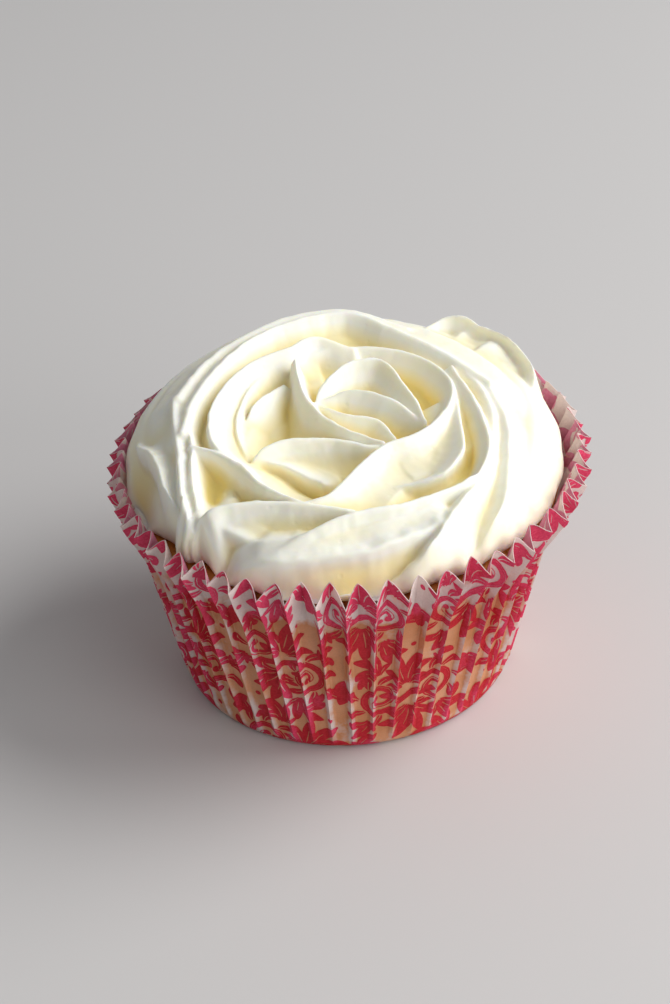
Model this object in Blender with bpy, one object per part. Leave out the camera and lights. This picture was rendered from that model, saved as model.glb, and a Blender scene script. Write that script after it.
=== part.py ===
"""Iced cupcake standing in its pleated paper baking case.

Three closed solids, none of them touching: the folded paper case, the baked
sponge inside it, and the piped buttercream rose on top.  Metres, +Z up, the
case stands on z = 0.  +Y is the back of the cake and -Y the side that shows
the end of the piped rope.
"""
import math

import bmesh
import bpy
import numpy as np

MM = 0.001

# ---- paper case, millimetres -------------------------------------------
BASE_RADIUS = 24.5      # standard baking case, 49 mm across the base
PLEATS = 56             # outer folds around the wall
SLANT = 36.0            # wall length up the slope, from base crease to rim
RIM_SHIFT = 0.8         # the flat disc was pressed this far off centre
LEAN = 13.7             # degrees the wall leans out, on average
LEAN_RIGHT = 1.2        # more on the right, less on the left
LEAN_FRONT = 0.5        # more at the front, less at the back
LEAN_OVAL = 2.0         # more at the front and back, less at the sides
FLARE_FROM = 22.0       # wall length from which the wall flares
FLARE = 0.9             # extra radius at the rim, on average
FLARE_RIGHT = 0.55      # more on the right, a little towards the back
FLARE_SIDES = 0.7       # more at the sides, less at the front and back
PAPER = 0.15            # paper thickness
WALL_ROWS = (1.5, 4.5, 11.0, 22.0)

# ---- sponge, millimetres -----------------------------------------------
GAP = 0.3               # air left between neighbouring solids
SPONGE_EDGE_Z = 31.0    # where the baked side turns over into the top
SPONGE_TOP_Z = 35.4     # middle of the dome
SPONGE_SIDES = 56
SPONGE_DOME = (0.975, 0.84, 0.6, 0.3)   # rings over the dome, as shares of its edge

# ---- buttercream, millimetres ------------------------------------------
CREAM_RADIUS = 29.3
CREAM_OFFSET_X = 0.7
CREAM_AROUND = 92
CREAM_RINGS = 23
CREASE = 0.4            # softening of the creases between ridges
FACET = 0.5             # half a facet, over which the relief is averaged
CREAM_SHEAR = 0.06      # the rose stands this much taller per mm to the back

# Crest height of the piped rings by distance from the middle.
CREST_LINE = [(0, 42.5), (15, 42.8), (20, 43.0), (23, 42.4), (25, 41.3),
              (27, 39.7), (29, 37.4), (30.3, 35.2), (31.2, 31.0)]
# Depth of the hollows below that crest line.
HOLLOW_LINE = [(0, -6.0), (19, -6.0), (22, -5.0), (25, -3.6), (28, -2.6), (31.2, -1.6)]

# The rope of buttercream, piped from the middle outward, anticlockwise from above:
# angle travelled, distance of the rope's core from the middle, its height, half its width.
ROPE = [(60, 1.5, 40.0, 4.0), (240, 5.5, 38.6, 5.0), (420, 10.8, 38.0, 5.8),
        (540, 14.0, 37.6, 6.2), (620, 21.5, 35.4, 6.4), (720, 23.4, 36.6, 6.6),
        (810, 21.8, 39.8, 6.4), (900, 24.2, 37.4, 6.0), (950, 28.5, 34.0, 2.0)]
RIDGE_STEP = 44.0       # degrees of travel from one tooth's ridge to the next
RIDGE_TWIST = 1.25      # degrees a ridge climbs around the rope per degree of travel
RIDGE_REACH = 85.0      # degrees either side of the rope's top that a ridge shows
RIDGE_OUTER = (6.0, 3.0)    # width and depth of the flute on a ridge's outer side
RIDGE_INNER = (3.6, 3.4)    # and on its inner side


# ---- helpers -------------------------------------------------------------
def clear_scene():
    """Start from nothing."""
    for obj in list(bpy.data.objects):
        bpy.data.objects.remove(obj)


def material(name, colour, roughness):
    """One plain Principled material per node."""
    mat = bpy.data.materials.new(name)
    mat.use_nodes = True
    shader = mat.node_tree.nodes["Principled BSDF"]
    shader.inputs["Base Color"].default_value = (*colour, 1.0)
    shader.inputs["Roughness"].default_value = roughness
    return mat


def finish(name, verts, faces, mat, sharp_degrees, relief=None):
    """Turn a list of vertices in millimetres and faces into a named solid.

    On a relief, edges are turned so that they run along crests and creases.
    """
    mesh = bpy.data.meshes.new(name)
    mesh.from_pydata([(x * MM, y * MM, z * MM) for x, y, z in verts], [], faces)
    obj = bpy.data.objects.new(name, mesh)
    bpy.context.scene.collection.objects.link(obj)
    bm = bmesh.new()
    bm.from_mesh(mesh)
    bmesh.ops.recalc_face_normals(bm, faces=bm.faces)
    bmesh.ops.triangulate(bm, faces=[f for f in bm.faces if len(f.verts) > 4])
    if relief:
        bmesh.ops.triangulate(bm, faces=bm.faces)
        top = {f for f in bm.faces if all(relief(v.co / MM) for v in f.verts)}
        inner = [e for e in bm.edges if top.issuperset(e.link_faces)]
        bmesh.ops.beautify_fill(bm, faces=list(top), edges=inner, method="ANGLE")
    bm.to_mesh(mesh)
    bm.free()
    for polygon in mesh.polygons:
        polygon.use_smooth = True
    mesh.set_sharp_from_angle(angle=math.radians(sharp_degrees))
    mesh.materials.append(mat)
    return obj


def stack_rings(rings, low_centre, high_centre):
    """Join closed rings of equal length into one skin, closed by two centre points.

    Every quad is cut from its lower left to its upper right corner, whether the skin
    is climbing or coming down again, so the two sides of a thin wall stay parallel.
    """
    count = len(rings[0])
    verts = [low_centre] + [v for ring in rings for v in ring] + [high_centre]
    faces = []
    for j in range(count):
        k = (j + 1) % count
        faces.append((0, 1 + k, 1 + j))
        for i in range(len(rings) - 1):
            a, b = 1 + i * count, 1 + (i + 1) * count
            if rings[i + 1][j][2] >= rings[i][j][2]:
                faces += [(a + j, a + k, b + k), (a + j, b + k, b + j)]
            else:
                faces += [(a + j, a + k, b + j), (a + k, b + k, b + j)]
        last = 1 + (len(rings) - 1) * count
        faces.append((last + j, last + k, len(verts) - 1))
    return verts, faces


# ---- paper case ------------------------------------------------------------
def lean_at(angle):
    """Lean of the wall in radians; greatest at the front, so the rim is a little oval."""
    return math.radians(LEAN + LEAN_RIGHT * math.cos(angle) - LEAN_FRONT * math.sin(angle)
                        - LEAN_OVAL * math.cos(2 * angle))


def flare_at(angle):
    """Extra radius of the rim, where the free edge of the paper flares out."""
    return (FLARE + FLARE_RIGHT * math.cos(angle - math.radians(15))
            + FLARE_SIDES * math.cos(2 * angle))


def wall_middle(slant, angle):
    """Radius and height of the middle of the pleats."""
    lean = lean_at(angle)
    flared = flare_at(angle) * max(slant - FLARE_FROM, 0) / (SLANT - FLARE_FROM)
    return BASE_RADIUS + slant * math.sin(lean) + flared, slant * math.cos(lean)


def pleat_depth(slant, angle):
    """Depth of a pleat, so that the folded wall uses up the flat disc's girth."""
    radius, _ = wall_middle(slant, angle)
    panel = math.pi * (BASE_RADIUS + slant) / PLEATS
    pitch = math.pi * radius / PLEATS
    return math.sqrt(max(panel * panel - pitch * pitch, 0.0)), pitch


def wall_ring(share, side):
    """One ring of fold points; side is +1 for the outside of the paper, -1 inside."""
    ring = []
    for j in range(2 * PLEATS):
        angle = math.pi * j / PLEATS
        slant = share * (SLANT + RIM_SHIFT * math.cos(angle))
        radius, height = wall_middle(slant, angle)
        depth, pitch = pleat_depth(slant, angle)
        skin = 0.5 * PAPER / math.sin(math.atan2(pitch, depth))
        fold = 0.5 * depth if j % 2 == 0 else -0.5 * depth
        r = radius + fold + side * skin
        ring.append((r * math.cos(angle), r * math.sin(angle), height))
    return ring


def flat_ring(radius, height):
    """A plain circle of fold points on the base."""
    return [(radius * math.cos(math.pi * j / PLEATS), radius * math.sin(math.pi * j / PLEATS),
             height) for j in range(2 * PLEATS)]


def build_case():
    """Outside of the base, outside of the wall, rim, inside of the wall, inside of the base."""
    shares = [row / SLANT for row in WALL_ROWS] + [1.0]
    rings = [flat_ring(BASE_RADIUS - 1.0, 0.0), flat_ring(BASE_RADIUS - 0.2, 0.35)]
    rings += [wall_ring(share, +1) for share in shares]
    rings += [wall_ring(share, -1) for share in reversed(shares)]
    rings += [flat_ring(BASE_RADIUS - 0.45, 0.42), flat_ring(BASE_RADIUS - 1.1, PAPER)]
    verts, faces = stack_rings(rings, (0, 0, 0), (0, 0, PAPER))
    return finish("paper_case", verts, faces, material("case paper", (0.72, 0.30, 0.36), 0.8), 25)


# ---- sponge ----------------------------------------------------------------
def sponge_side(height, angle):
    """Radius of the sponge just inside the inner folds of the case."""
    slant = height / math.cos(lean_at(angle))
    radius, _ = wall_middle(slant, angle)
    depth, pitch = pleat_depth(slant, angle)
    skin = 0.5 * PAPER / math.sin(math.atan2(pitch, depth))
    return radius - 0.5 * depth - skin - GAP


def sponge_top(radius):
    """Height of the dome at a distance from the middle."""
    share = min(radius / 30.5, 1.0)
    return SPONGE_TOP_Z - (SPONGE_TOP_Z - SPONGE_EDGE_Z - 1.3) * share ** 2.4


def build_sponge():
    """Stack of rings from the floor of the case, up the side and over the dome."""
    rings = []
    for height, inset in [(PAPER + GAP, 1.2), (1.6, 0.1), (14, 0), (21, 0),
                          (SPONGE_EDGE_Z, 0), (SPONGE_EDGE_Z + 0.9, 0.5)]:
        ring = []
        for j in range(SPONGE_SIDES):
            angle = 2 * math.pi * j / SPONGE_SIDES
            r = sponge_side(max(height, 1.6), angle) - inset
            ring.append((r * math.cos(angle), r * math.sin(angle), height))
        rings.append(ring)
    edge = rings[-1]
    for share in SPONGE_DOME:
        rings.append([(share * x, share * y, sponge_top(share * math.hypot(x, y)))
                      for x, y, _ in edge])
    verts, faces = stack_rings(rings, (0, 0, PAPER + GAP), (0, 0, SPONGE_TOP_Z))
    return finish("sponge", verts, faces, material("baked sponge", (0.62, 0.30, 0.09), 0.85), 40)


# ---- buttercream -------------------------------------------------------------
def table(line, value, column=1):
    """Read one column of a short list of stations."""
    return np.interp(value, [row[0] for row in line], [row[column] for row in line])


def crest_level(x, y):
    """General level of the ring crests."""
    return table(CREST_LINE, np.hypot(x, y)) + CREAM_SHEAR * y


def ridge_line(middle):
    """Crest of one ridge, from the rope's outer side over its top to the inner side."""
    reach = RIDGE_REACH / RIDGE_TWIST
    travel = np.linspace(max(middle - reach, ROPE[0][0]), min(middle + reach, ROPE[-1][0]), 60)
    climb = np.radians(RIDGE_TWIST * (travel - middle))
    core, height, half = (table(ROPE, travel, column) for column in (1, 2, 3))
    radius = core - half * np.sin(climb)
    turn = np.radians(travel)
    return np.stack([radius * np.cos(turn), radius * np.sin(turn),
                     height + half * np.cos(climb)], 1)


def ridge_height(x, y, line):
    """Height of one ridge above or below the crest level, at each x, y."""
    way = np.gradient(line[:, :2], axis=0)
    way /= np.linalg.norm(way, axis=1)[:, None]
    rise = line[:, 2] - crest_level(line[:, 0], line[:, 1])
    far = (x[:, None] - line[None, :, 0])**2 + (y[:, None] - line[None, :, 1])**2
    i = np.argmin(far, axis=1)
    away = np.sqrt(far[np.arange(len(x)), i])
    side = (x - line[i, 0]) * way[i, 1] - (y - line[i, 1]) * way[i, 0]
    share = 0.5 + 0.5 * np.clip(side / np.maximum(away, 1e-6), -1, 1)
    width = RIDGE_OUTER[0] * share + RIDGE_INNER[0] * (1 - share)
    drop = RIDGE_OUTER[1] * share + RIDGE_INNER[1] * (1 - share)
    fall = drop * (1 - (1 - np.clip(away / width, 0, 1))**1.9)
    return rise[i] - fall - 0.6 * np.maximum(away - width, 0)


def cream_height(x, y):
    """Top of the buttercream: the highest ridge wins, with softened creases between."""
    best = table(HOLLOW_LINE, np.hypot(x, y))
    for middle in np.arange(ROPE[0][0] + RIDGE_STEP, ROPE[-1][0], RIDGE_STEP):
        height = ridge_height(x, y, ridge_line(middle))
        mix = np.clip(0.5 + 0.5 * (height - best) / CREASE, 0, 1)
        best = best * (1 - mix) + height * mix + CREASE * mix * (1 - mix)
    return crest_level(x, y) + best


def cream_surface(x, y):
    """Height averaged over one facet's width, so that crests cross the grid cleanly."""
    total = 2.0 * cream_height(x, y)
    for dx, dy in ((FACET, 0), (-FACET, 0), (0, FACET), (0, -FACET)):
        total = total + cream_height(x + dx, y + dy)
    return total / 6.0


def cream_ring(radius, heights):
    """One ring of the buttercream at a radius about its own middle."""
    return [(CREAM_OFFSET_X + radius * math.cos(2 * math.pi * j / CREAM_AROUND),
             radius * math.sin(2 * math.pi * j / CREAM_AROUND), heights[j])
            for j in range(CREAM_AROUND)]


def build_buttercream():
    """Underside following the sponge, rounded foot, then the piped relief."""
    turn = 2 * math.pi * np.arange(CREAM_AROUND) / CREAM_AROUND
    rings = []
    for radius in (9, 18, 25, 29.0):
        x = CREAM_OFFSET_X + radius * np.cos(turn)
        y = radius * np.sin(turn)
        rings.append(cream_ring(radius, [sponge_top(r) + GAP for r in np.hypot(x, y)]))
    edge = cream_surface(CREAM_OFFSET_X + CREAM_RADIUS * np.cos(turn), CREAM_RADIUS * np.sin(turn))
    foot = SPONGE_EDGE_Z + 1.3 + GAP + 0.15
    for swell, share in ((0.0, 0.1), (0.35, 0.45), (0.25, 0.8)):
        rings.append(cream_ring(CREAM_RADIUS + swell, foot + (edge - foot) * share))
    for i in range(CREAM_RINGS, 0, -1):
        radius = CREAM_RADIUS * i / CREAM_RINGS
        rings.append(cream_ring(radius, cream_surface(CREAM_OFFSET_X + radius * np.cos(turn),
                                                      radius * np.sin(turn))))
    middle = np.array([CREAM_OFFSET_X]), np.array([0.0])
    verts, faces = stack_rings(rings, (CREAM_OFFSET_X, 0, SPONGE_TOP_Z + GAP),
                               (CREAM_OFFSET_X, 0, float(cream_surface(*middle)[0])))
    return finish("buttercream", verts, faces, material("buttercream", (0.90, 0.84, 0.62), 0.5),
                  50, relief=lambda co: co.z > foot + 1.0)


clear_scene()
build_case()
build_sponge()
build_buttercream()
for made in bpy.data.objects:
    print(made.name, sum(len(p.vertices) - 2 for p in made.data.polygons), "triangles",
          [round(1000 * d, 2) for d in made.dimensions], "mm")
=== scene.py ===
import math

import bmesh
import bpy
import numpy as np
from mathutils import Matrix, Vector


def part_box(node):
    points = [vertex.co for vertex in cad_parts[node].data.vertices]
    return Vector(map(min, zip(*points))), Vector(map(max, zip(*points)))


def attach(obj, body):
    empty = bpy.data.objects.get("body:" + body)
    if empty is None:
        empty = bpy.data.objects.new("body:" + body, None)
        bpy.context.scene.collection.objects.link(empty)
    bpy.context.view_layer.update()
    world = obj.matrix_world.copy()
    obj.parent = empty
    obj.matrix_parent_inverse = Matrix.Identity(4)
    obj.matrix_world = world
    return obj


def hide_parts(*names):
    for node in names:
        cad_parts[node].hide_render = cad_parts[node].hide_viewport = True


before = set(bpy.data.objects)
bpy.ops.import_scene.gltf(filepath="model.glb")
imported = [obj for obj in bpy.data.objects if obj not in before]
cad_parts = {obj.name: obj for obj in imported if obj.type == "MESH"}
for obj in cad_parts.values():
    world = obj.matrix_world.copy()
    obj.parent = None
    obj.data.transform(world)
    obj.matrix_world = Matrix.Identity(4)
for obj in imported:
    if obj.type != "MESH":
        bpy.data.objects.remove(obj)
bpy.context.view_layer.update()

# %% [markdown]
# # A cupcake
# It sits in its printed, pleated paper case and is topped with a piped buttercream rose.
# The lesson works in the order a baker would: the paper case, its print, the baked sponge
# inside it, then the icing.  Lengths are worked out in millimetres and turned into metres
# as each mesh is finished.

MM = 0.001
TURN = 2 * math.pi
print("nodes in the frame:", sorted(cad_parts))

# %% [markdown]
# ## The camera
# The cake is seen from the front and well above, about 35 degrees up, from close by, so
# the rim nearest to us looks larger than the far one.  The camera looks at a point just
# below the middle of the cake.  It is tilted a little, so the cake leans slightly.

# %% Camera
CAMERA_HEIGHT = math.radians(35.4)      # how far above the horizon it stands
CAMERA_AWAY = 0.300                     # from the point it looks at
CAMERA_ROLL = math.radians(-3.0)
LOOK_AT = Vector((0, 0, 0.020))

back = Vector((0, -math.cos(CAMERA_HEIGHT), math.sin(CAMERA_HEIGHT)))
turned = (-back).to_track_quat("-Z", "Y").to_matrix() @ Matrix.Rotation(CAMERA_ROLL, 3, "Z")
lens = bpy.data.cameras.new("camera")
camera = bpy.data.objects.new("camera", lens)
bpy.context.scene.collection.objects.link(camera)
camera.matrix_world = Matrix.Translation(LOOK_AT + back * CAMERA_AWAY) @ turned.to_4x4()
lens.sensor_fit = "VERTICAL"
lens.sensor_height = 36
lens.lens = 73.7
lens.shift_x, lens.shift_y = -0.007, 0.031
lens.clip_start, lens.clip_end = 0.01, 10
bpy.context.scene.camera = camera
print("camera at", [round(v, 3) for v in camera.location])

# %% [markdown]
# ## The light
# One very large window stands to the right and slightly behind, about 38 degrees up.  It
# brightens the right of every fold and throws a broad shadow to the left whose edges melt
# away, because the window is nearly as wide as it is far.  A weak lamp low at the front
# right and a pale, faintly blue sky fill the shade, as the white room would.

# %% Lamps and sky
AIM = Vector((0, 0, 0.03))              # the lamps face the edge of the icing


def lamp(name, turn, height, away, size, watts):
    """A round soft lamp that looks at the icing, placed by its two angles in degrees."""
    data = bpy.data.lights.new(name, "AREA")
    data.shape, data.size, data.energy = "DISK", size, watts
    made = bpy.data.objects.new(name, data)
    bpy.context.scene.collection.objects.link(made)
    up, side = math.radians(height), math.radians(turn)
    way = Vector((math.cos(up) * math.cos(side), math.cos(up) * math.sin(side), math.sin(up)))
    made.location = AIM + way * away
    made.rotation_euler = way.to_track_quat("Z", "Y").to_euler()
    return made


lamp("window", 6, 38, 1.00, 0.84, 10.3)
lamp("room", 318, 14, 0.60, 0.46, 1.9)

sky = bpy.data.worlds.new("white room")
sky.use_nodes = True
sky.node_tree.nodes["Background"].inputs["Color"].default_value = (0.87, 0.88, 0.90, 1)
sky.node_tree.nodes["Background"].inputs["Strength"].default_value = 0.36
bpy.context.scene.world = sky
bpy.context.scene.view_settings.view_transform = "Standard"
print("two lamps and a sky")

# %% [markdown]
# ## Mixing finishes
# Every finish below is a Principled shader with a few nodes in front of it.  These short
# helpers add a node, join two sockets and mix two colours, so that each recipe can be
# read as a list of what it does.

# %% Finish helpers
class Finish:
    """A material being mixed: add nodes by kind, join them by socket name."""

    def __init__(self, name, colour, roughness):
        self.material = bpy.data.materials.new(name)
        self.material.use_nodes = True
        self.tree = self.material.node_tree
        self.shader = self.tree.nodes["Principled BSDF"]
        self.shader.inputs["Base Color"].default_value = (*colour, 1)
        self.shader.inputs["Roughness"].default_value = roughness
        self.place = self.tree.nodes.new("ShaderNodeTexCoord").outputs["Object"]

    def node(self, kind, inputs=None, **settings):
        """One node, its settings, and its sockets fed by a number, a colour or a socket."""
        made = self.tree.nodes.new("ShaderNode" + kind)
        for key, value in settings.items():
            setattr(made, key, value)
        for key, value in (inputs or {}).items():
            if isinstance(value, bpy.types.NodeSocket):
                self.tree.links.new(value, made.inputs[key])
            else:
                made.inputs[key].default_value = value
        return made

    def join(self, out, into):
        """A wire from a socket into one of the shader's."""
        self.tree.links.new(out, self.shader.inputs[into])

    def noise(self, size_mm, detail=3):
        """Cloudy noise whose lumps are about size_mm across."""
        return self.node("TexNoise", {"Vector": self.place, "Scale": 1 / (size_mm * MM),
                                      "Detail": detail, "Roughness": 0.5}).outputs["Fac"]

    def ramp(self, value, low, high, to_low=0.0, to_high=1.0):
        """Stretch a range of a value to another, and keep it there."""
        return self.node("MapRange", {"Value": value, "From Min": low, "From Max": high,
                                      "To Min": to_low, "To Max": to_high}).outputs["Result"]

    def mix(self, share, a, b, how="MIX"):
        """Mix two colours, each four numbers or a socket."""
        made = self.node("MixRGB", {"Fac": share, "Color1": a, "Color2": b}, blend_type=how)
        return made.outputs["Color"]

    def sum(self, a, b):
        """Two values added."""
        return self.node("Math", {0: a, 1: b}, operation="ADD").outputs["Value"]

    def attribute(self, name):
        """A number painted on the mesh."""
        return self.node("Attribute", attribute_name=name).outputs["Fac"]

    def bump(self, height, depth_mm, strength=1.0, under=None):
        """Small relief that the light sees but the mesh doesn't have."""
        inputs = {"Height": height, "Distance": depth_mm * MM, "Strength": strength}
        if under:
            inputs["Normal"] = under
        return self.node("Bump", inputs).outputs["Normal"]


# %% [markdown]
# ## Making pieces
# A bmesh in millimetres becomes an object in metres, at the origin.  A part of the cupcake
# also rides on the root body.

# %% Piece helper
def piece(name, bm, finish, slot=None, smooth=True):
    """Turn a bmesh in millimetres into a finished piece."""
    bmesh.ops.scale(bm, vec=(MM, MM, MM), verts=bm.verts)
    mesh = bpy.data.meshes.new(name)
    bm.to_mesh(mesh)
    bm.free()
    made = bpy.data.objects.new(name, mesh)
    bpy.context.scene.collection.objects.link(made)
    mesh.materials.append(finish.material)
    mesh.polygons.foreach_set("use_smooth", [smooth] * len(mesh.polygons))
    if slot:
        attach(made, "root")
    print(name, len(mesh.polygons), "faces")
    return made


# %% [markdown]
# ## The table
# A plain pale board, so wide that its edges stay out of sight.

# %% Floor
board = Finish("pale board", (0.585, 0.57, 0.56), 0.6)
bm = bmesh.new()
bmesh.ops.create_grid(bm, x_segments=1, y_segments=1, size=3000)
floor = piece("floor", bm, board, smooth=False)

# %% [markdown]
# ## How the paper is folded
# A baking case starts as a flat printed disc that is pressed into a ribbed mould.  Nothing
# stretches: the wall keeps the disc's girth, so the spare paper goes into pleats that grow
# deeper towards the rim.  Modelling 56 pleats one by one would be slow and too even.
# Instead we write down where any point of the flat disc ends up, and then fold a flat sheet
# and its flat print by that one rule.  Batter pushed the inner folds flat against the cake,
# so up to the cake's edge a pleat is a narrow rib beside a flat, and above it an open zigzag.

# %% Sizes of the case, millimetres
BASE_RADIUS = 24.5                  # 49 mm across the base
PLEATS = 56
SLANT = 36.0                        # length of the wall from the base to the rim
RIM_SHIFT = 0.8                     # the disc was pressed this far off centre
LEAN = 13.7                         # degrees that the wall leans out, on average
LEAN_RIGHT, LEAN_FRONT = 1.2, 0.5   # more on the right and the front
LEAN_OVAL = 2.0                     # and less at the sides, so the rim is a little oval
FLARE, FLARE_FROM = 0.9, 23.0       # extra radius of the rim, where the free edge flares
FLARE_RIGHT, FLARE_SIDES = 0.55, 0.7    # more on the right, and more at the sides
RIB_DROP, TIP_RISE = 0.5, 1.1       # at the rim the outer folds sag and the inner ones rise
RIM_BAND = 7.0                      # depth of the band below the rim that is bent so
CAKE_EDGE = 30.5                    # length up the wall where the cake's side ends
OPENING, OPEN_OVER = 0.8, 7.0       # above it the pleats open this far, over this length
KNEE = 0.54                         # where the rib ends, as a share of half a pleat
CORNER, CORNER_REACH = 0.35, 1.4    # rise and reach of the rounded corner at the base
CORNER_UP = 2.2                     # length of wall that the corner takes
TUCK = 0.15                         # how far it is drawn in
PLEATS_OVER, UNEVEN_OVER = 2.5, 8   # the pleats rise, and grow uneven, over these lengths
STRAY_FROM, STRAY_OVER = 4, 24      # folds stray from their places from here, over this
ABOVE_FLOOR = 0.05                  # the underside is lifted this far off the floor
PAPER = 0.08                        # thickness of the paper

dice = np.random.default_rng(7)
stray = dice.normal(0, 0.05, 2 * PLEATS)        # folds a little off their even places
rib_depth = dice.uniform(0.82, 1.0, PLEATS)     # and some ribs flatter than others
flare = dice.uniform(0.0, 0.45, PLEATS)         # inner folds that open out at the rim
droop = dice.uniform(0.0, 0.7, 2 * PLEATS)
print("flat disc", 2 * (BASE_RADIUS + SLANT), "mm across, in", PLEATS, "pleats")


# %% Parts of the folding rule
def ease(x):
    """Smooth step from 0 to 1."""
    x = np.clip(x, 0, 1)
    return x * x * (3 - 2 * x)


def rim_at(angle):
    """Length of the wall at an angle."""
    return SLANT + RIM_SHIFT * np.cos(angle)


def wall_middle(climb, angle):
    """Radius of the middle of the pleats, some way up the wall."""
    lean = np.radians(LEAN + LEAN_RIGHT * np.cos(angle) - LEAN_FRONT * np.sin(angle)
                      - LEAN_OVAL * np.cos(2 * angle))
    wider = (FLARE + FLARE_RIGHT * np.cos(angle - math.radians(15))
             + FLARE_SIDES * np.cos(2 * angle))
    flared = np.clip((climb - FLARE_FROM) / (SLANT - FLARE_FROM), 0, 1)**1.4
    return BASE_RADIUS + climb * np.sin(lean) + wider * flared


def half_pleat(climb, radius, across):
    """Section of half a pleat: how far along and out a point is, and where its inner fold is."""
    panel = math.pi * (BASE_RADIUS + climb) / PLEATS
    pitch = math.pi * radius / PLEATS
    full = np.sqrt(np.maximum(panel**2 - pitch**2, 0))
    foot = np.maximum(pitch - (1 - KNEE) * panel, 0.2)
    deep = np.sqrt(np.maximum((KNEE * panel)**2 - foot**2, 0))
    rib = np.clip(across / KNEE, 0, 1)
    flat = np.clip((across - KNEE) / (1 - KNEE), 0, 1)
    along = (foot * rib + (pitch - foot) * flat) / pitch
    out = deep * (1 - rib)
    opened = OPENING * ease((climb - CAKE_EDGE + 5) / OPEN_OVER)
    along = along + (across - along) * opened
    out = out + (full * (1 - across) - out) * opened
    return along, out, -0.5 * full


def pleat_place(angle):
    """Nearest outer fold, which side of it, and the share of the way to the inner fold."""
    pleat = angle * PLEATS / TURN
    outer = np.round(pleat)
    side = np.where(pleat >= outer, 1.0, -1.0)
    return outer, side, np.clip(2 * np.abs(pleat - outer), 0, 1)


# %% The folding rule
def fold(flat_x, flat_y):
    """Where points of the flat disc end up on the folded case, all in millimetres."""
    far = np.hypot(flat_x, flat_y)
    angle = np.arctan2(flat_y, flat_x) % TURN
    slant = np.minimum(far - BASE_RADIUS, rim_at(angle))
    climb = np.maximum(slant, 0)
    outer, side, across = pleat_place(angle)
    here = (2 * outer).astype(int) % (2 * PLEATS)
    there = (2 * outer + side).astype(int) % (2 * PLEATS)
    radius = wall_middle(climb, angle)
    along, out, inner = half_pleat(climb, radius, across)
    free = ease((climb - STRAY_FROM) / STRAY_OVER)
    edge = np.clip((climb - SLANT + RIM_BAND) / RIM_BAND, 0, 1)**2
    out = inner + out * (1 - (1 - rib_depth[here // 2]) * ease(climb / UNEVEN_OVER))
    out = out * (1 - edge * flare[there // 2] * across)
    shift = stray[here] + (stray[there] - stray[here]) * along
    turned = (outer + 0.5 * side * along + shift * free) * TURN / PLEATS
    sag = edge * (droop[here] + (droop[there] - droop[here]) * across
                  + RIB_DROP - (RIB_DROP + TIP_RISE) * ease(across))
    corner = np.clip(1 - climb / CORNER_UP, 0, 1)**2
    base = CORNER * np.clip((far - BASE_RADIUS + CORNER_REACH) / CORNER_REACH, 0, 1)**2
    on_wall = slant > 0
    radius = radius + out * ease(climb / PLEATS_OVER)
    height = np.sqrt(np.maximum(climb**2 - (radius - BASE_RADIUS)**2, 0))
    tuck = TUCK * np.where(on_wall, corner, np.clip(far / BASE_RADIUS, 0, 1)**20)
    radius = np.where(on_wall, radius, far) - tuck
    turned = np.where(on_wall, turned, angle)
    height = np.where(on_wall, height + CORNER * corner - sag, base) + ABOVE_FLOOR
    return np.stack([radius * np.cos(turned), radius * np.sin(turned), height], -1)


# %% Off the paper, and into it
def fold_and_lift(flat_x, flat_y, lift):
    """Fold points and move them off the paper's outer face, outwards if lift is positive."""
    step = 0.06                         # the slope is taken over twice this
    across = fold(flat_x + step, flat_y) - fold(flat_x - step, flat_y)
    along = fold(flat_x, flat_y + step) - fold(flat_x, flat_y - step)
    normal = np.cross(along, across)
    normal /= np.maximum(np.linalg.norm(normal, axis=-1, keepdims=True), 1e-9)
    return fold(flat_x, flat_y) + lift * normal


def soaked(flat_x, flat_y):
    """How much butter a point has drawn from the cake: most on the flats, none on the ribs."""
    angle = np.arctan2(flat_y, flat_x) % TURN
    climb = np.hypot(flat_x, flat_y) - BASE_RADIUS
    across = pleat_place(angle)[2]
    touch = 0.38 + 0.62 * ease((across - 0.16) / 0.42)
    touch = touch + (0.75 - touch) * ease((3 - climb) / 4)
    return touch * ease((CAKE_EDGE + 0.5 - climb) / 5)


# %% [markdown]
# ## The paper
# Greaseproof paper is thin enough to glow where light comes through it.  Where it lay
# against the cake it has soaked up butter and turned orange-brown, while the ribs and the
# free edge stayed pale.  The sheet starts as a flat grid with columns at every crease; it
# is folded point by point and then given its thickness inwards.

# %% Paper finish
PALE = (0.85, 0.735, 0.70, 1)
SOAKED = (0.84, 0.43, 0.235, 1)
BROWN = (0.72, 0.31, 0.13, 1)


def glowing(finish, colour, share):
    """Let some of the light come through from behind, tinted by the same colour."""
    through = finish.node("BsdfTranslucent", {"Color": colour})
    both = finish.tree.nodes.new("ShaderNodeMixShader")
    both.inputs["Fac"].default_value = share
    finish.tree.links.new(finish.shader.outputs["BSDF"], both.inputs[1])
    finish.tree.links.new(through.outputs["BSDF"], both.inputs[2])
    output = finish.tree.nodes["Material Output"]
    finish.tree.links.new(both.outputs["Shader"], output.inputs["Surface"])


def butter(finish):
    """Soaked share of the surface, with cloudy edges."""
    cloud = finish.ramp(finish.noise(4.5, 4), 0.3, 0.7, -0.5, 0.38)
    specks = finish.ramp(finish.noise(0.5, 2), 0.3, 0.7, -0.12, 0.12)
    wet = finish.sum(finish.sum(finish.attribute("soaked"), cloud), specks)
    return finish.ramp(wet, 0.18, 0.78)


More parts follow.
